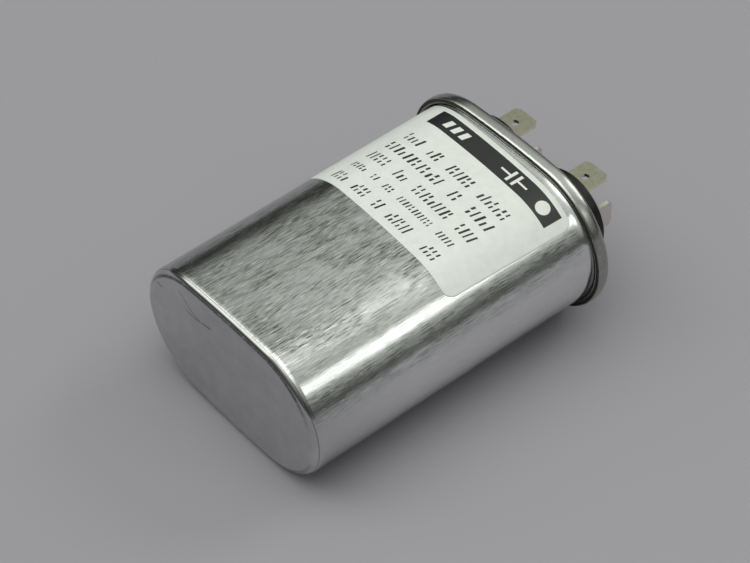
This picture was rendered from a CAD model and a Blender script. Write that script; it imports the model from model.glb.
import math

import bmesh
import bpy
import numpy as np
from mathutils import Matrix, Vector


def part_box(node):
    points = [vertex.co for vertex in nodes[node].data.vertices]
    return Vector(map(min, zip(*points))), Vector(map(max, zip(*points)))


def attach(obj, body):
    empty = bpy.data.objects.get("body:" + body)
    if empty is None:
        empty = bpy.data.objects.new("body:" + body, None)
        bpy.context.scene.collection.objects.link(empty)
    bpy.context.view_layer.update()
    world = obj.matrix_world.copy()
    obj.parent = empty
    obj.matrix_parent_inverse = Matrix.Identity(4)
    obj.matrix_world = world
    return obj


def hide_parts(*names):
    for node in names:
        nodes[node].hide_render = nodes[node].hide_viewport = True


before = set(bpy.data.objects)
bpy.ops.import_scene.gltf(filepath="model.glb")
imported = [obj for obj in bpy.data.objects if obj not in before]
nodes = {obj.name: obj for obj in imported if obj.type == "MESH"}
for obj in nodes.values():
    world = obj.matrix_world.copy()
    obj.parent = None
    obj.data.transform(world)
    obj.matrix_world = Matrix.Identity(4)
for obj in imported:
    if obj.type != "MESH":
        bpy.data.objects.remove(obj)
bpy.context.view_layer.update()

# ---- can
# The can is one deep-drawn aluminium cup with crowned faces. A thin ring runs above its flat
# closed end, and its open edge flares by a hair and hooks into the seam. Drawing leaves fine
# lines along the wall, and handling leaves grey smears on it.

# Lengths are in millimetres, and MM makes them metres. A place on the can has three of them:
# s runs around its outline, d goes outwards off its wall, and y is the height over its
# closed end.
MM = 0.001
SEAM_REACH = 1.7
CROWN_TURN = math.radians(3.5)
CAN_WALL = 0.5
BASE_EDGE = 1.9
ARCH_X = 0.325
ARCH_DROP = 1.375
CURL_DROP = 2.025
SHAPE_STEPS = 320
END_ROWS = 26
FINE_BELOW = 3.5
FINE_ABOVE = 67.5
RING_HEIGHT = 1.02
RING_DEPTH = 0.02
RING_WIDTH = 0.12
NECK_RISE = 0.18
NECK_LOW = 2.14
NECK_HIGH = 0.64
NECK_END = 0.15
NECK_POWER = 2.5
NECK_DEPTH = 0.25
WAVE_DEPTH = 0.008
WAVES_FROM = 1.0
WAVES_TO = 66.5
WAVES_FADE = 3.0
END_DISH = 0.07
DISH_WAVE = 0.022
DISH_RIPPLE = 0.012

cover_high = np.array(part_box("cover")[1]) / MM
half_width = cover_high[0] - SEAM_REACH
half_depth = cover_high[2] - SEAM_REACH
arch_y = cover_high[1] - ARCH_DROP
curl_y = cover_high[1] - CURL_DROP

# A crowned face meets a round end where both have turned by CROWN_TURN. Two lengths, across
# the depth and across the width, give the radius of the face and the radius of the end.
turn_sin, turn_cos = math.sin(CROWN_TURN), math.cos(CROWN_TURN)
face_radius, end_radius = np.linalg.solve(
    [[1 - turn_cos, turn_cos], [turn_sin, 1 - turn_sin]], [half_depth, half_width]
)
end_centre = half_width - end_radius
face_half = face_radius * CROWN_TURN
end_arc = end_radius * (math.pi - 2 * CROWN_TURN)
girth = 4 * face_half + 2 * end_arc


def around_can(s):
    """The can's outline as spokes. s is the length along the outline from the middle of the
    labelled face, clockwise seen from the closed end. The surface turns at a rate of one over
    the radius, so its turning angle is a piecewise straight function of s. Each spoke starts
    on the middle line of the oval and points outwards. Returns the start's x, the spoke's
    direction (x, z) and its length."""
    lengths = np.cumsum([0, face_half, end_arc, 2 * face_half, end_arc, face_half])
    turns = [0, CROWN_TURN, math.pi - CROWN_TURN, math.pi + CROWN_TURN,
             2 * math.pi - CROWN_TURN, 2 * math.pi]
    angle = np.interp(np.mod(s, girth), lengths, turns)
    sin, cos = np.sin(angle), np.cos(angle)
    on_face = np.abs(cos) > turn_cos
    side, top = np.sign(sin), np.sign(cos)
    x = np.where(on_face, face_radius * sin, side * end_centre + end_radius * sin)
    z = np.where(on_face, top * (half_depth - face_radius) + face_radius * cos, end_radius * cos)
    start_x = np.where(on_face, x * end_centre / (face_radius * turn_sin), side * end_centre)
    length = np.hypot(x - start_x, z)
    return start_x, (x - start_x) / length, z / length, length


# Each slow wave of the wall has a count around the can, a turn per millimetre along it, a
# phase and a share. Each dent has a place (s, y), a radius and a depth.
WALL_WAVES = ((5, 0.11, 0.0, 1.0), (9, -0.19, 1.3, 0.7), (2, 0.33, 4.0, 0.5))
DENTS = (
    (26.4, 24.0, 0.7, 0.045), (24.2, 49.0, 1.6, 0.03), (-6.0, 12.5, 1.2, 0.02),
    (8.5, 9.0, 1.6, 0.025), (58.0, 31.0, 2.2, 0.05), (67.0, 14.0, 1.4, 0.03),
    (-33.0, 40.0, 2.4, 0.04), (-28.0, 17.0, 1.3, 0.035),
)


def wall_wave(s, y):
    """How far the drawn wall lies inside its true outline: the sum of the slow waves, each a
    sine less one, and of the dents, each a bell of the distance from its place."""
    around = 2 * math.pi * s / girth
    depth = WAVE_DEPTH * sum(
        share * (np.sin(count * around + turn * y + phase) - 1)
        for count, turn, phase, share in WALL_WAVES
    )
    for place_s, place_y, radius, deep in DENTS:
        across = np.mod(s - place_s + girth / 2, girth) - girth / 2
        depth = depth - deep * np.exp(-(across**2 + (y - place_y) ** 2) / (2 * (radius / 2) ** 2))
    return depth


def arc(centre, radius, start, end, steps):
    """Points of a circle's arc about (d, y), from one angle to another in degrees."""
    angle = np.radians(np.linspace(start, end, steps))
    return np.column_stack([centre[0] + radius * np.cos(angle), centre[1] + radius * np.sin(angle)])


def line(start, end, steps):
    """Points of a straight line between two points (d, y), both ends left out."""
    share = np.linspace(0, 1, steps + 2)[1:-1, None]
    return np.array(start) * (1 - share) + np.array(end) * share


def flat(d, y, steps, outwards):
    """Rows of a flat end: share of the spoke, d and y. They run from the middle line to the
    edge, or back."""
    share = np.linspace(0, 1, steps + 1)[:-1]
    rows = np.column_stack([share, np.full(steps, d), np.full(steps, y)])
    return rows if outwards else rows[::-1]


def wall_rows(*parts):
    """Rows of (d, y) with the share of the spoke, which is 1 on a wall."""
    points = np.vstack(parts)
    return np.column_stack([np.ones(len(points)), points])


def grid_faces(rows, columns, wrap):
    """Quads of a grid of points that is stored row by row, facing along column x row."""
    across = np.arange(columns if wrap else columns - 1)
    first = (np.arange(rows - 1)[:, None] * columns + across).ravel()
    second = (np.arange(rows - 1)[:, None] * columns + (across + 1) % columns).ravel()
    return np.column_stack([first, second, second + columns, first + columns])


def make_piece(name, points, faces, slot, weld=True):
    """A smooth mesh from points in millimetres. Points that fall together are welded, which
    closes poles and seams."""
    mesh = bpy.data.meshes.new(name)
    mesh.from_pydata((np.asarray(points) * MM).tolist(), [], np.asarray(faces).tolist())
    if weld:
        work = bmesh.new()
        work.from_mesh(mesh)
        bmesh.ops.remove_doubles(work, verts=work.verts, dist=0.0005 * MM)
        work.to_mesh(mesh)
        work.free()
    mesh.polygons.foreach_set("use_smooth", np.ones(len(mesh.polygons), bool))
    piece = bpy.data.objects.new(name, mesh)
    bpy.context.scene.collection.objects.link(piece)
    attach(piece, "root")
    return piece


def sweep_around_can(rows, shift):
    """Carries rows of (share of the spoke, d, y) around the can. A point is the spoke's start
    plus its direction times share * (spoke length + d + shift(s, d, y))."""
    s = np.linspace(0, girth, SHAPE_STEPS, endpoint=False)
    start_x, out_x, out_z, length = around_can(s)
    share, d, y = (column[:, None] for column in rows.T)
    reach = share * (length + d + shift(s[None, :], d, y))
    points = np.stack([start_x + out_x * reach, y + 0 * reach, out_z * reach], axis=2)
    return points.reshape(-1, 3), grid_faces(len(rows), SHAPE_STEPS, wrap=True)


def ironing_ring(s, y):
    """A shallow groove above the closed end, where the ironed wall starts: a bell in y, whose
    depth changes slowly round the can."""
    depth = RING_DEPTH * (0.6 + 0.4 * np.sin(4 * math.pi * s / girth + 2.4))
    return -depth * np.exp(-(((y - RING_HEIGHT) / RING_WIDTH) ** 2))


def neck(y):
    """The wall flares out by a hair to the seam's lower edge, as a power of the share of the
    way there, and turns back inside the fold."""
    rise = np.clip((y - curl_y + NECK_LOW) / (NECK_LOW - NECK_HIGH), 0, 1) ** NECK_POWER
    return NECK_RISE * rise * np.clip((curl_y - NECK_END - y) / (NECK_HIGH - NECK_END), 0, 1)


def can_shift(s, d, y):
    """The wall's waves fade out towards the closed end's edge and towards the seam, and the
    neck's flare is on the outside only."""
    fade = np.clip((y - WAVES_FROM) / WAVES_FADE, 0, 1) * np.clip((WAVES_TO - y) / WAVES_FADE, 0, 1)
    on_outside = np.clip(1 + d / NECK_DEPTH, 0, 1)
    return wall_wave(s, y) * fade + ironing_ring(s, y) + neck(y) * on_outside


def end_dish(x, z, share):
    """How far the closed end is pressed in: most in its middle, as one less the fourth power
    of the share of the way to its edge, with slow waves over it."""
    wave = DISH_WAVE * np.sin(0.31 * x + 0.5) * np.cos(0.27 * z)
    ripple = DISH_RIPPLE * np.sin(0.5 * z + 0.2 * x)
    return (1 - share**4) * (END_DISH + wave + ripple)


can_rows = np.vstack([
    flat(-BASE_EDGE, 0, END_ROWS, outwards=True),
    wall_rows(
        arc((-BASE_EDGE, BASE_EDGE), BASE_EDGE, -90, 0, 57),
        line((0, BASE_EDGE), (0, FINE_BELOW), 8),
        line((0, FINE_BELOW), (0, FINE_ABOVE), 72),
        line((0, FINE_ABOVE), (0, arch_y), 26),
        arc((ARCH_X, arch_y), ARCH_X, 180, 0, 9),
        line((2 * ARCH_X, arch_y), (2 * ARCH_X, curl_y), 2),
        [(2 * ARCH_X, curl_y), (2 * ARCH_X + CAN_WALL, curl_y)],
        arc((ARCH_X, arch_y), ARCH_X + CAN_WALL, 0, 180, 9),
        line((-CAN_WALL, arch_y), (-CAN_WALL, BASE_EDGE), 24),
        arc((-BASE_EDGE, BASE_EDGE), BASE_EDGE - CAN_WALL, 0, -90, 6),
    ),
    flat(-BASE_EDGE, CAN_WALL, 8, outwards=False),
])
can_points, can_faces = sweep_around_can(can_rows, can_shift)
can_grid = can_points.reshape(len(can_rows), SHAPE_STEPS, 3)
can_end = can_grid[:END_ROWS]
can_end[:, :, 1] = end_dish(can_end[:, :, 0], can_end[:, :, 2], can_rows[:END_ROWS, :1])
can_piece = make_piece("drawn_can", can_grid.reshape(-1, 3), can_faces, "can_aluminium")
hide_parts("can")


def add(tree, kind, inputs=None, **settings):
    """Adds a shader node. settings are its own fields, and inputs gives a socket a value or
    links it to another node's output."""
    made = tree.nodes.new("ShaderNode" + kind)
    for field, value in settings.items():
        setattr(made, field, value)
    for socket, value in (inputs or {}).items():
        if isinstance(value, bpy.types.NodeSocket):
            tree.links.new(value, made.inputs[socket])
        else:
            made.inputs[socket].default_value = value
    return made


def finish(name, **constants):
    """A material with one Principled shader, whose sockets take the constants given."""
    material = bpy.data.materials.new(name)
    material.use_nodes = True
    tree = material.node_tree
    shader = tree.nodes["Principled BSDF"]
    for socket, value in constants.items():
        shader.inputs[socket.replace("_", " ")].default_value = value
    return material, tree, shader


def in_mm(tree, stretch=(1, 1, 1)):
    """Object coordinates in millimetres, stretched along each axis."""
    place = add(tree, "TexCoord").outputs["Object"]
    scale = tuple(share / MM for share in stretch)
    return add(tree, "Mapping", {"Vector": place, "Scale": scale}).outputs["Vector"]


def parts_of(tree, vector):
    """The x, y and z of a vector."""
    split = add(tree, "SeparateXYZ", {"Vector": vector})
    return [split.outputs[axis] for axis in "XYZ"]


def noise(tree, place, scale, detail=3.0, roughness=0.5):
    """Noise with a feature size of about one over scale."""
    return add(tree, "TexNoise", {"Vector": place, "Scale": scale, "Detail": detail,
                                  "Roughness": roughness}).outputs["Fac"]


def spread(tree, value, low, high, to_low=0.0, to_high=1.0):
    """Moves a value from one range to another, and holds it at the ends."""
    return add(tree, "MapRange", {"Value": value, "From Min": low, "From Max": high,
                                  "To Min": to_low, "To Max": to_high}).outputs["Result"]


def reckon(tree, operation, first, second=0.0):
    """One step of arithmetic between two values."""
    return add(tree, "Math", {0: first, 1: second}, operation=operation).outputs["Value"]


def product(tree, first, *others):
    """All the values multiplied."""
    for other in others:
        first = reckon(tree, "MULTIPLY", first, other)
    return first


def distance(tree, value, middle=0.0):
    """How far a value lies from a middle, on either side."""
    return reckon(tree, "ABSOLUTE", reckon(tree, "SUBTRACT", value, middle))


def blend(tree, factor, first, second):
    """A colour between two others, each of them red, green and blue or a node's output."""
    first, second = (colour if isinstance(colour, bpy.types.NodeSocket) else (*colour, 1)
                     for colour in (first, second))
    mix = add(tree, "Mix", {"Factor": factor, 6: first, 7: second}, data_type="RGBA")
    return mix.outputs[2]


def lay_over(tree, ground, *layers):
    """Lays colours over a ground one by one, each as strong as its factor says."""
    for factor, colour in layers:
        ground = blend(tree, factor, ground, colour)
    return ground


def emboss(tree, shader, height, strength, depth_mm):
    """Bumps the shader's surface by a height, with a depth in millimetres."""
    bump = add(tree, "Bump", {"Height": height, "Strength": strength, "Distance": depth_mm * MM})
    tree.links.new(bump.outputs["Normal"], shader.inputs["Normal"])


def scratch(tree, start, end, half_line):
    """One straight scratch on the closed end, from (x, z) to (x, z) in millimetres: points
    nearer than half_line to the line between them, measured flat on the end."""
    run = (end[0] - start[0], 0.0, end[1] - start[1])
    from_start = add(tree, "VectorMath", {0: in_mm(tree, (1, 0, 1)), 1: (start[0], 0.0, start[1])},
                     operation="SUBTRACT").outputs["Vector"]
    along = add(tree, "VectorMath", {0: from_start, 1: run}, operation="DOT_PRODUCT").outputs["Value"]
    share = spread(tree, along, 0, run[0] ** 2 + run[2] ** 2)
    nearest = add(tree, "VectorMath", {0: run, "Scale": share}, operation="SCALE").outputs["Vector"]
    off = add(tree, "VectorMath", {0: from_start, 1: nearest}, operation="DISTANCE").outputs["Value"]
    return spread(tree, off, half_line, 0.3 * half_line)


SCRATCHES = (
    ((-21.4, 8.1), (-19.8, 7.95), 0.18), ((-14.2, 11.5), (-12.6, 10.2), 0.12),
    ((-12.6, 10.2), (-11.0, 8.75), 0.13), ((-11.0, 8.75), (-9.2, 8.0), 0.13),
    ((-9.2, 8.0), (-8.0, 7.9), 0.15), ((-12.4, 7.5), (-10.2, 7.4), 0.13),
    ((-10.2, 7.4), (-7.9, 7.5), 0.14), ((-7.3, 7.95), (-4.9, 8.3), 0.24),
)
WALL_DARK, WALL_PALE = (0.72, 0.725, 0.73), (0.79, 0.795, 0.80)
END_DARK, END_PALE = (0.50, 0.497, 0.51), (0.57, 0.567, 0.577)
HANDLED = (0.60, 0.603, 0.61)
SHADED_END = (0.42, 0.425, 0.42)
DULLED = (0.52, 0.535, 0.51)
DARK_LINE = (0.10, 0.115, 0.09)
PALE_LINE = (0.95, 0.955, 0.93)
STRETCHED = (0.12, 0.125, 0.115)
RING_SHADE = (0.24, 0.24, 0.235)
SCRATCH_SHADE = (0.05, 0.05, 0.05)

# Where the marks lie, as ranges over which they come in or go out. Drawing marks the wall off
# the can's middle plane, above the closed end and under the seam, and on both sides of a
# bright ridge. The stretched bend is found by how far the surface faces down.
BRUSHED_DEPTH = (3.5, 9.5)
BRUSHED_FROM = (0.6, 1.8)
BRUSHED_TO = (68.3, 66.8)
RIDGE_INSIDE = (20.5, 16.5)
RIDGE_OUTSIDE = (21.6, 22.8)
NEAR_SEAM = 0.12
ON_RIDGE = 0.3
STRETCHED_DEPTH = (4.0, 11.0)
STRETCHED_FROM = (0.79, 0.89)
STRETCHED_TO = (0.992, 0.955)
RING_EDGE = (0.11, 0.05)
HANDLED_BELOW = (24.0, 4.0)
SHADED_BEYOND = (-14.5, -18.0)

aluminium, tree, shader = finish("drawn_aluminium", Metallic=1.0)
can_x, can_y, can_z = parts_of(tree, in_mm(tree))
_, facing_y, _ = parts_of(tree, add(tree, "TexCoord").outputs["Normal"])
facing_down = product(tree, facing_y, -1.0)
wall_grain = noise(tree, in_mm(tree, (1.0, 0.10, 1.0)), 2.6, 5, 0.62)
long_lines = noise(tree, in_mm(tree, (1.0, 0.03, 1.0)), 7.0, 2, 0.6)
long_breaks = noise(tree, in_mm(tree, (1.0, 0.12, 1.0)), 3.4, 2, 0.5)
bright_lines = noise(tree, in_mm(tree, (1.0, 0.04, 1.0)), 8.5, 2, 0.6)
bright_breaks = noise(tree, in_mm(tree, (1.0, 0.12, 1.0)), 2.6, 2, 0.5)
clumps = noise(tree, in_mm(tree, (1.0, 0.30, 1.0)), 0.55, 3, 0.6)
smears = noise(tree, in_mm(tree, (1.0, 0.40, 1.0)), 0.16, 3, 0.6)
haze = noise(tree, in_mm(tree), 0.22, 5, 0.65)
blotches = noise(tree, in_mm(tree), 1.6, 4, 0.7)

on_wall = spread(tree, can_y, *BRUSHED_FROM)
off_ridge = reckon(tree, "MAXIMUM", spread(tree, distance(tree, can_x), *RIDGE_INSIDE, ON_RIDGE, 1.0),
                   spread(tree, distance(tree, can_x), *RIDGE_OUTSIDE, ON_RIDGE, 1.0))
brushed = product(tree, spread(tree, distance(tree, can_z), *BRUSHED_DEPTH), on_wall,
                  spread(tree, can_y, *BRUSHED_TO, NEAR_SEAM, 1.0), off_ridge)
patch = spread(tree, reckon(tree, "ADD", smears, product(tree, clumps, 0.7)), 0.74, 0.98)
lines = product(tree, spread(tree, long_lines, 0.44, 0.54), spread(tree, long_breaks, 0.40, 0.56))
dark_lines = product(tree, lines, spread(tree, patch, 0, 1, 0.5, 1.0), brushed)
pale_lines = product(tree, spread(tree, bright_lines, 0.50, 0.60),
                     spread(tree, bright_breaks, 0.46, 0.60), brushed)

# The bend round the closed end is stretched dark, most of all along the two faces.
stretched = product(tree, spread(tree, facing_down, *STRETCHED_TO),
                    spread(tree, facing_down, *STRETCHED_FROM),
                    spread(tree, distance(tree, can_z), *STRETCHED_DEPTH),
                    spread(tree, blotches, 0.34, 0.52, 0.35, 1.0))
ring_line = product(tree, spread(tree, distance(tree, can_y, RING_HEIGHT), *RING_EDGE),
                    spread(tree, facing_down, 0.2, 0.3),
                    spread(tree, wall_grain, 0.35, 0.6, 0.7, 1.0))
scratched = 0.0
for start, end, half_line in SCRATCHES:
    scratched = reckon(tree, "MAXIMUM", scratched, scratch(tree, start, end, half_line))

wall = lay_over(
    tree, blend(tree, spread(tree, wall_grain, 0.35, 0.65), WALL_DARK, WALL_PALE),
    (spread(tree, can_y, *HANDLED_BELOW), HANDLED),
    (spread(tree, can_x, *SHADED_BEYOND), SHADED_END),
)
closed_end = blend(tree, spread(tree, haze, 0.38, 0.66), END_DARK, END_PALE)
marked = lay_over(
    tree, blend(tree, on_wall, closed_end, wall),
    (product(tree, patch, brushed), DULLED),
    (dark_lines, DARK_LINE),
    (pale_lines, PALE_LINE),
    (stretched, STRETCHED),
    (ring_line, RING_SHADE),
    (scratched, SCRATCH_SHADE),
)
tree.links.new(marked, shader.inputs["Base Color"])
even = spread(tree, wall_grain, 0.3, 0.7, 0.10, 0.15)
worn = product(tree, brushed, spread(tree, lines, 0.0, 1.0, 0.08, 0.20))
tree.links.new(reckon(tree, "ADD", even, worn), shader.inputs["Roughness"])
relief = reckon(tree, "ADD", product(tree, wall_grain, 0.12), product(tree, long_lines, brushed))
emboss(tree, shader, relief, 1.0, 0.007)
can_piece.data.materials.append(aluminium)

# ---- cover and double seam
# The cover is stamped from tinplate. Its wall lies inside the can's mouth, and its rim is
# rolled over the can's edge and folded under it. The seaming rollers leave the hump a little
# uneven, most of all where they round the two ends, and dirt stays in the groove below it.
COVER_SHEET = 0.45
CHUCK_X = -0.6
HOOK_X = 0.55
OUTER_X = 1.25
CURL_X = 0.9
ARCH_INSIDE = 0.925
CURL_INSIDE = 0.35
SHOULDER_X = 1.1
SEAM_SQUARENESS = 3.8
SEAM_RISE = 0.18
WAIST_DROP = 0.75
DECK_DROP = 3.2
DECK_BEND = 0.6
SPIGOT_HOLE = 3.8
HOLE_STEPS = 64
HUMP_WAVE = 0.02
HUMP_DIP = 0.016
HUMP_FROM = 0.3
HUMP_FADE = 0.9
END_BEND = 8.0
END_BEND_FADE = 10.0

deck_y = cover_high[1] - DECK_DROP
under_y = deck_y - COVER_SHEET
bend_d = CHUCK_X - COVER_SHEET - DECK_BEND
bend_centre = (bend_d, deck_y + DECK_BEND)
waist_y = arch_y - WAIST_DROP
curl_reach = CURL_INSIDE + COVER_SHEET
arch_reach = ARCH_INSIDE + COVER_SHEET
hump_height = cover_high[1] + SEAM_RISE - waist_y


def oval_arc(centre, across, up, start, end, steps):
    """Points of an ellipse's arc about (d, y), from one angle to another in degrees."""
    return np.array(centre) + arc((0, 0), 1, start, end, steps) * (across, up)


def square_arc(centre, across, up, power, steps):
    """A quarter of a squarish oval, from its outermost point to its top: the shares across and
    up, each raised to the power, add up to one."""
    turn = math.pi / 4 * (1 - np.cos(np.linspace(0, math.pi, steps)))
    share = np.column_stack([np.cos(turn), np.sin(turn)]) ** (2 / power)
    return np.array(centre) + share * (across, up)


def roller_marks(s, d, y):
    """The hump is rolled in by up to 0.1 mm: slow waves all round, and shorter dips that swell
    where the outline is tightly bent. The wall inside the can's mouth stays true."""
    around = 2 * math.pi * s / girth
    off_end = np.abs(np.mod(s, girth / 2) - girth / 4)
    straight = np.clip((off_end - END_BEND) / END_BEND_FADE, 0, 1)
    waves = HUMP_WAVE * (np.sin(4 * around + 0.4) - 1)
    dips = np.sin(23 * around + 0.6) + 0.6 * np.sin(37 * around + 2.1) - 1.6
    depth = waves + HUMP_DIP * (1.2 - straight) * dips
    return depth * np.clip((d - HUMP_FROM) / HUMP_FADE, 0, 1)


cover_rows = np.vstack([
    flat(bend_d, under_y, 6, outwards=True),
    wall_rows(
        arc(bend_centre, DECK_BEND + COVER_SHEET, -90, 0, 8),
        line((CHUCK_X, bend_centre[1]), (CHUCK_X, arch_y), 3),
        arc((ARCH_X, arch_y), ARCH_INSIDE, 180, 0, 14),
        line((OUTER_X, arch_y), (OUTER_X, curl_y), 2),
        arc((CURL_X, curl_y), CURL_INSIDE, 0, -180, 9),
        line((HOOK_X, curl_y), (HOOK_X, arch_y), 2),
        [(HOOK_X, arch_y), (HOOK_X - COVER_SHEET, arch_y)],
        line((HOOK_X - COVER_SHEET, arch_y), (HOOK_X - COVER_SHEET, curl_y), 2),
        arc((CURL_X, curl_y), curl_reach, 180, 270, 9),
        oval_arc((SHOULDER_X, waist_y), SEAM_REACH - SHOULDER_X, waist_y - curl_y + curl_reach,
                 270, 360, 15),
        square_arc((ARCH_X, waist_y), ARCH_DROP, hump_height, SEAM_SQUARENESS, 27)[1:],
        oval_arc((ARCH_X, arch_y), arch_reach, arch_reach + SEAM_RISE, 90, 180, 13)[1:],
        line((CHUCK_X - COVER_SHEET, arch_y), (CHUCK_X - COVER_SHEET, bend_centre[1]), 4),
        arc(bend_centre, DECK_BEND, 0, -90, 9),
    ),
    flat(bend_d, deck_y, 20, outwards=False),
])
cover_piece = make_piece("seamed_cover", *sweep_around_can(cover_rows, roller_marks), "cover_tinplate")
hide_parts("cover")


def disc_prism(centre_x, radius, low, high, steps):
    """A closed upright cylinder about (centre_x, y), as points and faces."""
    angle = np.linspace(0, 2 * math.pi, steps, endpoint=False)
    ring = np.column_stack([centre_x + radius * np.sin(angle), 0 * angle, radius * np.cos(angle)])
    points = np.vstack([ring + (0, low, 0), ring + (0, high, 0)])
    sides = grid_faces(2, steps, wrap=True).tolist()
    caps = [list(range(steps))[::-1], list(range(steps, 2 * steps))]
    return points, sides + caps


# Each cup's spigot goes through a round hole in the cover's deck.
cup_x = sum(corner[0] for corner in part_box("cup_gasket_right")) / 2 / MM
cutters = []
for side in (-1, 1):
    points, faces = disc_prism(side * cup_x, SPIGOT_HOLE, under_y - 1, deck_y + 1, HOLE_STEPS)
    mesh = bpy.data.meshes.new("hole")
    mesh.from_pydata((points * MM).tolist(), [], faces)
    cutter = bpy.data.objects.new("hole", mesh)
    bpy.context.scene.collection.objects.link(cutter)
    cut = cover_piece.modifiers.new("hole", "BOOLEAN")
    cut.operation, cut.object, cut.solver = "DIFFERENCE", cutter, "EXACT"
    cutters.append(cutter)
evaluated = cover_piece.evaluated_get(bpy.context.evaluated_depsgraph_get())
cover_piece.data = bpy.data.meshes.new_from_object(evaluated)
cover_piece.modifiers.clear()
for cutter in cutters:
    bpy.data.objects.remove(cutter)

TIN_PALE, TIN_DARK = (0.70, 0.705, 0.70), (0.57, 0.575, 0.56)
TARNISHED_TIN = (0.35, 0.35, 0.33)
GROOVE_DIRT = (0.07, 0.065, 0.052)
TARNISHED_FROM = (12.5, 18.5)
DIRT_EDGE = (curl_y - 0.56, curl_y - 0.70)

tinplate, tree, shader = finish("rolled_tinplate", Metallic=1.0)
tin_x, tin_y, _ = parts_of(tree, in_mm(tree))
surface = add(tree, "TexCoord").outputs["Normal"]
_, facing_y, _ = parts_of(tree, surface)
outwards = add(tree, "VectorMath", {0: surface, 1: in_mm(tree, (1, 0, 1))},
               operation="DOT_PRODUCT").outputs["Value"]
grain = noise(tree, in_mm(tree), 1.3, 5, 0.6)
fine = noise(tree, in_mm(tree), 7.0, 3, 0.6)
tarnished = product(tree, spread(tree, distance(tree, tin_x), *TARNISHED_FROM),
                    spread(tree, grain, 0.3, 0.62, 0.75, 1.0))
uneven_y = reckon(tree, "ADD", tin_y, spread(tree, grain, 0.3, 0.7, -0.06, 0.06))
dirty = product(tree, spread(tree, uneven_y, *DIRT_EDGE), spread(tree, facing_y, -0.2, -0.6),
                spread(tree, outwards, -6.0, -1.5))
worn_tin = lay_over(
    tree, blend(tree, spread(tree, grain, 0.35, 0.7), TIN_PALE, TIN_DARK),
    (tarnished, TARNISHED_TIN),
    (dirty, GROOVE_DIRT),
)
tree.links.new(worn_tin, shader.inputs["Base Color"])
tin_roughness = reckon(tree, "ADD", spread(tree, grain, 0.3, 0.7, 0.19, 0.29), product(tree, dirty, 0.35))
tree.links.new(tin_roughness, shader.inputs["Roughness"])
emboss(tree, shader, reckon(tree, "ADD", grain, product(tree, fine, 0.3)), 0.25, 0.02)
cover_piece.data.materials.clear()
cover_piece.data.materials.append(tinplate)

# ---- sealing compound
# A rubbery compound is flowed into the cover's fold before seaming. It fills the space
# between the folded sheets, and only the seaming makes it tight.


def mottle(tree, shader, pattern, first, second):
    """Gives a shader a base colour that varies between two others with a pattern."""
    tree.links.new(blend(tree, pattern, first, second), shader.inputs["Base Color"])


def mottled(name, first, second, cloud, stretch=(1, 1, 1), uneven=None, relief=None, **constants):
    """A finish that follows one noise, whose scale, detail and roughness are in cloud. It
    carries the colour from first to second, the shader's roughness over the range in uneven,
    and a relief with a strength and a depth in millimetres."""
    material, tree, shader = finish(name, **constants)
    pattern = noise(tree, in_mm(tree, stretch), *cloud)
    mottle(tree, shader, pattern, first, second)
    if uneven:
        tree.links.new(spread(tree, pattern, 0.3, 0.7, *uneven), shader.inputs["Roughness"])
    if relief:
        emboss(tree, shader, pattern, *relief)
    return material


def dress(material, *names):
    """Gives CAD nodes a finish."""
    for name in names:
        for place in nodes[name].material_slots:
            place.material = material


compound = mottled("sealing_compound", (0.10, 0.095, 0.085), (0.16, 0.15, 0.13), cloud=(1.5, 4),
                   relief=(0.4, 0.03), Roughness=0.7)
dress(compound, "seam_compound")

# ---- label
# The label is a glossy white film with rounded corners. It is stuck on by hand, a little
# turned, over the crowned face and on to both round ends.
LABEL_SHIFT = -0.4
LABEL_MIDDLE = 52.6
LABEL_WIDTH = 46.0
LABEL_HEIGHT = 31.2
LABEL_TURN = math.radians(1.9)
LABEL_CORNER = 2.2
LABEL_FILM = 0.12
LABEL_EDGE = 0.05
FILM_PALE, FILM_DULL = (0.80, 0.815, 0.79), (0.74, 0.755, 0.725)


def on_label(u, v, lift):
    """Places a point of the label, u across and v up from its middle, on the can: the label
    is turned, laid along the outline, and lifted off the can's wavy wall."""
    s = LABEL_SHIFT + u * math.cos(LABEL_TURN) + v * math.sin(LABEL_TURN)
    y = LABEL_MIDDLE - u * math.sin(LABEL_TURN) + v * math.cos(LABEL_TURN)
    start_x, out_x, out_z, length = around_can(s)
    reach = length + can_shift(s, 0, y) + lift
    return np.stack([start_x + out_x * reach, y, out_z * reach], axis=-1)


def label_row(v, inset):
    """Half the width of the label at height v, for a rounded rectangle inset all round: the
    straight half, plus what is left of the corner's radius there, by Pythagoras."""
    corner = LABEL_CORNER - inset
    into = np.clip(np.abs(v) - (LABEL_HEIGHT / 2 - LABEL_CORNER), 0, corner)
    return LABEL_WIDTH / 2 - LABEL_CORNER + np.sqrt(corner**2 - into**2)


def label_sheet(inset, lift, columns=150, straight_rows=70, corner_rows=9):
    """A grid over the rounded rectangle. Rows follow the corners' angle near the ends."""
    corner = LABEL_CORNER - inset
    angle = np.linspace(0, math.pi / 2, corner_rows)
    bend_v = LABEL_HEIGHT / 2 - LABEL_CORNER
    above = bend_v + corner * np.sin(angle)
    v = np.concatenate([-above[::-1], np.linspace(-bend_v, bend_v, straight_rows + 2)[1:-1], above])
    u = label_row(v, inset)[:, None] * np.linspace(-1, 1, columns)[None, :]
    grid = on_label(u, v[:, None] + 0 * u, lift)
    return grid.reshape(-1, 3), len(v), columns


def rim(rows, columns):
    """The point numbers around a grid, in order."""
    bottom = np.arange(columns)
    right = np.arange(1, rows) * columns + columns - 1
    top = (rows - 1) * columns + np.arange(columns - 2, -1, -1)
    left = np.arange(rows - 2, 0, -1) * columns
    return np.concatenate([bottom, right, top, left])


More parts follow.
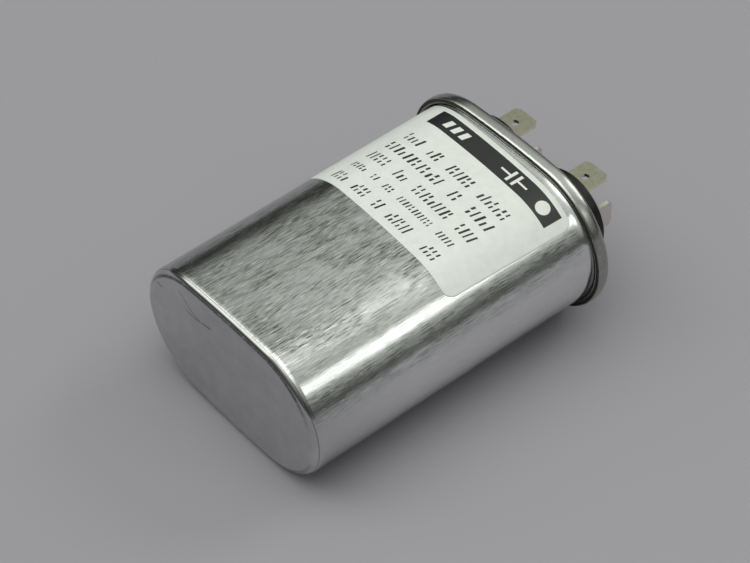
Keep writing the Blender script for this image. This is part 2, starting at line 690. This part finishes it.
label_top, label_rows, label_columns = label_sheet(LABEL_EDGE, LABEL_FILM)
label_shoulder, _, _ = label_sheet(0, LABEL_FILM - LABEL_EDGE)
label_back, _, _ = label_sheet(0, 0.0)
sheet_faces = grid_faces(label_rows, label_columns, wrap=False)
border = rim(label_rows, label_columns)
edge_points = np.vstack([label_back[border], label_shoulder[border], label_top[border]])
label_points = np.vstack([label_top, label_back, edge_points])
label_faces = np.vstack([
    sheet_faces,
    sheet_faces[:, ::-1] + len(label_top),
    grid_faces(3, len(border), wrap=True) + 2 * len(label_top),
])
label_piece = make_piece("label_sheet", label_points, label_faces, "label_film")
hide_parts("label")

film, tree, shader = finish("label_film", Roughness=0.33, Coat_Weight=0.35, Coat_Roughness=0.12)
fibres = noise(tree, in_mm(tree), 0.5, 5, 0.6)
mottle(tree, shader, spread(tree, fibres, 0.35, 0.7), FILM_PALE, FILM_DULL)
emboss(tree, shader, noise(tree, in_mm(tree), 0.35, 2), 0.25, 0.03)
label_piece.data.materials.append(film)

# ---- print on the label
# One black band and five rows of small dark marks are printed on the film. The marks are
# plain bars that stand in rows as words do. The band carries three slanted bars, the circuit
# sign for a capacitor and a disc, all in white.
INK_LIFT = LABEL_FILM + 0.012
WHITE_LIFT = LABEL_FILM + 0.024
BAND = (-16.1, 20.3, 9.85, 14.4)
ROW_TOPS = (5.6, 1.4, -3.0, -7.6, -11.4)
ROW_HEIGHTS = (2.4, 2.4, 2.4, 1.5, 2.4)
ROW_WORDS = ((4, 3, 6, 7), (12, 2, 5), (5, 3, 9, 4), (5, 2, 3, 11, 5), (4, 4, 2, 6, 0, 4))
ROW_STARTS = (-15.0, -15.6, -16.0, -16.2, -16.4)
ROW_ENDS = (15.6, 15.9, 16.0, 14.6, 15.4)
MARK_SLANT = 0.18
MARK_WIDTHS = (0.30, 0.48)
WORD_GAP = 2
FULL_MARK, LOW_MARK, CUT_MARK = [(0, 1)], [(0, 0.66)], [(0, 0.4), (0.6, 1)]
MARK_FORMS = (FULL_MARK, FULL_MARK, LOW_MARK, CUT_MARK, CUT_MARK)
INK_STEP = 0.55
INK_ROW_STEP = 1.5
BAR_STARTS = (-12.6, -10.2, -7.8)
BAR_WIDTH = 1.4
BAR_INSET = 1.2
BAR_SLANT = 0.25
SIGN_MIDDLE = 8.15
PLATE_NEAR, PLATE_FAR, LEAD_TIP = 0.45, 1.15, 3.75
PLATE_INSET = 0.7
LEAD_INSET = 2.05
DISC_MIDDLE = 16.8
DISC_RADIUS = 1.55


def ink_patch(u0, u1, v0, v1, slant, lift):
    """A thin patch of ink over a rectangle of the label, leaning by slant times its height."""
    columns = max(2, int((u1 - u0) / INK_STEP) + 2)
    rows = max(2, int((v1 - v0) / INK_ROW_STEP) + 2)
    u, v = np.meshgrid(np.linspace(u0, u1, columns), np.linspace(v0, v1, rows))
    grid = on_label(u + slant * (v - v0), v, lift)
    return grid.reshape(-1, 3), grid_faces(rows, columns, wrap=False)


def ink_disc(u, v, radius, lift, rings=5, steps=40):
    """A thin round patch of ink: rings about (u, v), the innermost of them nearly a point."""
    angle = np.linspace(0, 2 * math.pi, steps, endpoint=False)
    from_middle = radius * np.linspace(0.02, 1, rings)[::-1, None]
    grid = on_label(u + from_middle * np.sin(angle), v + from_middle * np.cos(angle), lift)
    return grid.reshape(-1, 3), grid_faces(rings, steps, wrap=True)


def ink_piece(name, patches, material):
    """Joins patches of ink into one piece."""
    starts = np.cumsum([0] + [len(points) for points, _ in patches[:-1]])
    points = np.vstack([points for points, _ in patches])
    faces = np.vstack([faces + start for (_, faces), start in zip(patches, starts)])
    piece = make_piece(name, points, faces, "label_film", weld=False)
    piece.data.materials.append(material)
    return piece


def word_marks(start, end, bottom, height, words, draw):
    """The bars of one printed line. They stand at one pitch, words are split by gaps two bars
    wide, and each bar is full, low, or cut in two."""
    pitch = (end - start) / (sum(words) + WORD_GAP * (len(words) - 1))
    marks, at = [], start
    for word in words:
        for _ in range(word):
            wide = pitch * draw.uniform(*MARK_WIDTHS)
            form = MARK_FORMS[draw.integers(0, len(MARK_FORMS))]
            marks += [
                ink_patch(at, at + wide, bottom + low * height, bottom + high * height,
                          MARK_SLANT, INK_LIFT)
                for low, high in form
            ]
            at += pitch
        at += WORD_GAP * pitch
    return marks


def band_bar(start, end, inset, slant=0):
    """A white bar on the band, between two places along it and inset from its edges."""
    low, high = BAND[2:]
    return ink_patch(min(start, end), max(start, end), low + inset, high - inset, slant, WHITE_LIFT)


draw = np.random.default_rng(11)
black_patches = [ink_patch(*BAND, 0, INK_LIFT)]
for start, end, top, height, words in zip(ROW_STARTS, ROW_ENDS, ROW_TOPS, ROW_HEIGHTS, ROW_WORDS):
    black_patches += word_marks(start, end, top - height, height, words, draw)
ink = mottled("label_ink", (0.010, 0.010, 0.011), (0.022, 0.022, 0.023), cloud=(1.0, 3),
              Roughness=0.3, Coat_Weight=0.3, Coat_Roughness=0.12)
ink_piece("label_print", black_patches, ink)

white_patches = [band_bar(start, start + BAR_WIDTH, BAR_INSET, BAR_SLANT) for start in BAR_STARTS]
for side in (-1, 1):
    near, far, tip = (SIGN_MIDDLE + side * reach for reach in (PLATE_NEAR, PLATE_FAR, LEAD_TIP))
    white_patches += [band_bar(near, far, PLATE_INSET), band_bar(far, tip, LEAD_INSET)]
white_patches.append(ink_disc(DISC_MIDDLE, sum(BAND[2:]) / 2, DISC_RADIUS, WHITE_LIFT))
ink_piece("label_band_marks", white_patches, film)

# ---- terminal cups
# Each cup is moulded in black heat-resistant plastic, with a deep well around the terminal
# and a rounded rim. The mould leaves a fine matt grain, and a film of dust dulls it in places.
moulded, tree, shader = finish("black_moulding", Specular_IOR_Level=0.3)
grain = noise(tree, in_mm(tree), 4.0, 4, 0.6)
dust = noise(tree, in_mm(tree), 0.45, 3, 0.6)
mottle(tree, shader, spread(tree, dust, 0.45, 0.75), (0.007, 0.007, 0.007), (0.018, 0.0175, 0.0165))
tree.links.new(spread(tree, dust, 0.35, 0.7, 0.30, 0.46), shader.inputs["Roughness"])
emboss(tree, shader, grain, 0.3, 0.02)
dress(moulded, "cup_left", "cup_right")

# ---- cup gaskets
# A soft ring of red rubber between cup and cover takes up their unevenness. The rivet
# squeezes it.
rubber = mottled("gasket_rubber", (0.20, 0.055, 0.035), (0.30, 0.09, 0.06), cloud=(3.0, 4),
                 relief=(0.4, 0.03), Roughness=0.75)
dress(rubber, "cup_gasket_left", "cup_gasket_right")

# ---- terminals
# Each terminal is stamped from brass strip that is plated with dull tin, and two
# quick-connect blades are folded up from one foot. The shears leave the cut edges bare brass
# and a little rounded.
TERMINAL_EDGE = 0.12
BLADE_HALF = 3.175
SIDE_STRIP_Z = -2.1
EDGE_REACH = 0.1
SIDEWAYS = 0.7
TIN_LIGHT, TIN_GREY = (0.55, 0.54, 0.42), (0.43, 0.42, 0.32)
TIN_ON_SIDES = (0.76, 0.72, 0.66)

plating, tree, shader = finish("dull_tin_plating", Metallic=1.0)
cloud = noise(tree, in_mm(tree), 0.9, 5, 0.6)
rolled = noise(tree, in_mm(tree, (0.35, 2.0, 2.0)), 2.2, 4, 0.6)
facing_x, _, _ = parts_of(tree, add(tree, "TexCoord").outputs["Normal"])
dull_tin = blend(tree, spread(tree, cloud, 0.35, 0.7), TIN_LIGHT, TIN_GREY)
mottle(tree, shader, spread(tree, distance(tree, facing_x), 0.7, 0.95), dull_tin, TIN_ON_SIDES)
tree.links.new(spread(tree, cloud, 0.3, 0.7, 0.20, 0.32), shader.inputs["Roughness"])
emboss(tree, shader, rolled, 0.25, 0.015)

sheared_brass = mottled("sheared_brass_edge", (0.98, 0.93, 0.74), (0.84, 0.77, 0.55),
                        cloud=(4.0, 3, 0.6), Metallic=1.0, Roughness=0.34)


def bevelled_terminal(side, middle_x):
    """A copy of a CAD terminal with its triangles joined, flat faces merged and edges rounded.
    Its cut edges are bare: the faces that look sideways and lie half a blade's width off the
    middle of their strip."""
    name, node = f"tin_plated_terminal_{side}", f"terminal_{side}"
    work = bmesh.new()
    work.from_mesh(nodes[node].data)
    bmesh.ops.remove_doubles(work, verts=work.verts, dist=0.001 * MM)
    bmesh.ops.dissolve_limit(work, angle_limit=math.radians(1), verts=work.verts, edges=work.edges)
    mesh = bpy.data.meshes.new(name)
    work.to_mesh(mesh)
    work.free()
    mesh.polygons.foreach_set("use_smooth", np.ones(len(mesh.polygons), bool))
    mesh.materials.append(plating)
    mesh.materials.append(sheared_brass)
    centres, normals = np.zeros((2, len(mesh.polygons) * 3))
    mesh.polygons.foreach_get("center", centres)
    mesh.polygons.foreach_get("normal", normals)
    centres, normals = centres.reshape(-1, 3) / MM, normals.reshape(-1, 3)
    off_middle = np.abs(centres - (middle_x, 0, SIDE_STRIP_Z))
    bare = (np.abs(off_middle - BLADE_HALF) < EDGE_REACH) & (np.abs(normals) > SIDEWAYS)
    mesh.polygons.foreach_set("material_index", (bare[:, 0] | bare[:, 2]).astype(np.int32))
    piece = bpy.data.objects.new(name, mesh)
    bpy.context.scene.collection.objects.link(piece)
    bevel = piece.modifiers.new("rounded_edges", "BEVEL")
    bevel.width, bevel.segments, bevel.limit_method = TERMINAL_EDGE * MM, 3, "ANGLE"
    bevel.angle_limit = math.radians(40)
    weighted = piece.modifiers.new("flat_faces_stay_flat", "WEIGHTED_NORMAL")
    weighted.mode, weighted.weight = "FACE_AREA", 100
    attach(piece, "root")
    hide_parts(node)


bevelled_terminal("left", -cup_x)
bevelled_terminal("right", cup_x)

# ---- rivets and washers
# A semi-tubular brass rivet clamps each stack: terminal, cup, gasket, cover, inner bush and
# contact washer. Its tail is rolled out below the washer.
rivet_metal = mottled("rivet_metal", (0.62, 0.61, 0.55), (0.45, 0.44, 0.38),
                      cloud=(1.4, 4, 0.6), uneven=(0.24, 0.4), relief=(0.25, 0.02),
                      Metallic=1.0)
dress(rivet_metal, "rivet_left", "rivet_right")

washer_brass = mottled("washer_brass", (0.70, 0.52, 0.27), (0.52, 0.36, 0.18),
                       cloud=(1.2, 4, 0.6), uneven=(0.28, 0.45), Metallic=1.0)
dress(washer_brass, "contact_washer_left", "contact_washer_right")

board = mottled("bush_board", (0.16, 0.075, 0.03), (0.27, 0.14, 0.06), cloud=(1.0, 4, 0.6),
                stretch=(0.4, 4.0, 0.4), relief=(0.3, 0.03), Roughness=0.6)
dress(board, "inner_bush_left", "inner_bush_right")

# ---- winding
# Metallised film is wound on a flattened tube, pressed oval and wrapped. Zinc sprayed on
# both ends joins every turn, and the turns show as fine lines on the roll's side.
wound = mottled("metallised_film", (0.55, 0.56, 0.58), (0.72, 0.73, 0.75), cloud=(1.0, 4, 0.6),
                stretch=(0.15, 5.0, 0.15), relief=(0.2, 0.02), Roughness=0.28, Metallic=0.6)
dress(wound, "film_roll")

wrap = mottled("wrap_film", (0.66, 0.63, 0.50), (0.76, 0.74, 0.62), cloud=(1.0, 4, 0.6),
               stretch=(0.3, 0.06, 0.3), relief=(0.4, 0.05), Roughness=0.3, Coat_Weight=0.3)
dress(wrap, "roll_wrap")

core = mottled("core_plastic", (0.55, 0.56, 0.57), (0.66, 0.67, 0.68), cloud=(0.6, 3),
               Roughness=0.5)
dress(core, "core_tube")

zinc = mottled("zinc_spray", (0.30, 0.305, 0.31), (0.52, 0.525, 0.53), cloud=(3.5, 6, 0.7),
               uneven=(0.55, 0.8), relief=(0.8, 0.08), Metallic=0.85)
dress(zinc, "end_spray_top", "end_spray_bottom")

# ---- tray, pad and leads
# The moulded tray of the pressure interrupter and the base pad are natural nylon. The leads
# are tinned copper ribbons, and the long one runs in a sleeve beside the roll.
nylon, tree, shader = finish("natural_nylon", Roughness=0.5)
mottle(tree, shader, noise(tree, in_mm(tree), 0.7, 4), (0.62, 0.56, 0.42), (0.72, 0.67, 0.54))
emboss(tree, shader, noise(tree, in_mm(tree), 5.0, 3), 0.2, 0.02)
dress(nylon, "interrupter_tray", "base_pad")

ribbon = mottled("tinned_ribbon", (0.58, 0.57, 0.53), (0.74, 0.73, 0.69), cloud=(1.6, 4, 0.6),
                 stretch=(2.0, 0.2, 2.0), uneven=(0.22, 0.38), Metallic=1.0)
dress(ribbon, "short_lead", "long_lead")

sleeve = mottled("sleeve_plastic", (0.40, 0.42, 0.40), (0.52, 0.54, 0.51), cloud=(0.8, 3),
                 stretch=(1.0, 0.2, 1.0), Roughness=0.45)
dress(sleeve, "lead_sleeve")

# ---- floor
# The capacitor lies on its back on a plain pale surface. It touches it with the seam's lower
# curl and with the closed end's lower edge, so that the floor leans by about 1.4 degrees.
FLOOR_HALF = 4000.0
FLOOR_COLOUR = (0.325, 0.308, 0.346, 1)

# The floor is the line that touches two circles: the edge's arc, and the curl's.
edge_point = np.array([BASE_EDGE, -half_depth + BASE_EDGE])
curl_point = np.array([curl_y, -half_depth - CURL_X])
run, rise = curl_point - edge_point
lean = math.atan2(rise, run) - math.asin((curl_reach - BASE_EDGE) / math.hypot(run, rise))
floor_y, floor_z = edge_point - BASE_EDGE * np.array([-math.sin(lean), math.cos(lean)])


def floor_point(x, along):
    """A point of the floor: along its slope from the closed end's edge, and x across."""
    return (x, floor_y + along * math.cos(lean), floor_z + along * math.sin(lean))


corners = [(-1, -1), (1, -1), (1, 1), (-1, 1)]
floor_points = np.array([floor_point(FLOOR_HALF * x, FLOOR_HALF * along) for x, along in corners])
floor_mesh = bpy.data.meshes.new("floor")
floor_mesh.from_pydata((floor_points * MM).tolist(), [], [(0, 1, 2, 3)])
floor = bpy.data.objects.new("floor", floor_mesh)
bpy.context.scene.collection.objects.link(floor)
paper, _, _ = finish("pale_floor", Roughness=0.65, Base_Color=FLOOR_COLOUR)
floor_mesh.materials.append(paper)

# ---- light
# Plain soft studio light: a pale ceiling with a large soft lamp, three soft windows, one of
# them with a sill, and a dim room above a low pale wall. A lamp's numbers are around, above,
# half angle, softness and strength, and the dim corner's strength takes light away.
ROOM = 0.085
CEILING = 0.74
CEILING_FROM = 0.26
WALL_LIGHT = 0.32
WALL_TOP = (0.045, 0.025)
LIGHT_COLOUR = (0.96, 1.0, 0.935, 1)
LAMPS = (
    ("window", (59.0, 37.0, 4.5, 5.5, 1.5)),
    ("window_sill", (63.0, 28.0, 12.0, 8.0, 0.28)),
    ("overhead_lamp", (180.0, 80.0, 26.0, 12.0, 1.42)),
    ("rear_window", (10.0, 36.0, 14.0, 6.0, 2.7)),
    ("side_window", (230.0, 41.0, 18.0, 7.0, 1.25)),
    ("dim_corner", (296.0, 8.0, 30.0, 14.0, -0.06)),
)

world = bpy.data.worlds.new("studio")
bpy.context.scene.world = world
world.use_nodes = True
tree = world.node_tree
view_ray = add(tree, "TexCoord").outputs["Generated"]
_, _, up = parts_of(tree, view_ray)


def eased(value, low, high, to_low, to_high):
    """Moves a value from one range to another along a smooth step."""
    return add(tree, "MapRange", {"Value": value, "From Min": low, "From Max": high,
                                  "To Min": to_low, "To Max": to_high},
               interpolation_type="SMOOTHSTEP").outputs["Result"]


def soft_light(around, above, half_angle, softness, strength):
    """A round patch of light in the world, seen around degrees from +Y towards +X and above
    degrees over the horizon: full within half_angle less softness, none beyond their sum."""
    around, above = math.radians(around), math.radians(above)
    towards = (math.sin(around) * math.cos(above), math.cos(around) * math.cos(above), math.sin(above))
    facing = add(tree, "VectorMath", {0: view_ray, 1: towards}, operation="DOT_PRODUCT").outputs["Value"]
    outer, inner = (math.cos(math.radians(half_angle + side * softness)) for side in (1, -1))
    return eased(facing, outer, inner, 0.0, strength)


glow = eased(up, CEILING_FROM, 1.0, ROOM, CEILING)
for name, lamp in LAMPS:
    patch = soft_light(*lamp)
    patch.node.label = name
    glow = reckon(tree, "ADD", glow, patch)
glow = add(tree, "Mix", {"Factor": spread(tree, up, *WALL_TOP), 2: glow, 3: WALL_LIGHT}).outputs[0]
background = tree.nodes["Background"]
background.inputs["Color"].default_value = LIGHT_COLOUR
tree.links.new(glow, background.inputs["Strength"])

# ---- camera
# It stands to the right of the closed end, looks down on the label, and is rolled a little.
# Its long lens keeps the can's edges nearly parallel.
AZIMUTH = math.radians(51.363)
ELEVATION = math.radians(46.578)
ROLL = math.radians(-1.792)
DISTANCE = 519.67
AIM = (-0.22, 36.09, 0.0)
LENS = 128.7
SENSOR = 36.0

camera_data = bpy.data.cameras.new("camera")
camera_data.lens, camera_data.sensor_width = LENS, SENSOR
camera_data.clip_start, camera_data.clip_end = 0.01, 20.0
camera = bpy.data.objects.new("camera", camera_data)
bpy.context.scene.collection.objects.link(camera)
back = np.array([math.sin(AZIMUTH) * math.cos(ELEVATION), -math.cos(AZIMUTH) * math.cos(ELEVATION),
                 math.sin(ELEVATION)])
level = np.array([math.cos(AZIMUTH), math.sin(AZIMUTH), 0.0])
upright = np.cross(back, level)
right = math.cos(ROLL) * level + math.sin(ROLL) * upright
place = (np.array(AIM) + DISTANCE * back) * MM
axes = np.column_stack([right, np.cross(back, right), back, place])
camera.matrix_world = Matrix(axes.tolist() + [[0, 0, 0, 1]])
bpy.context.scene.camera = camera

bpy.context.scene.view_settings.view_transform = "Standard"
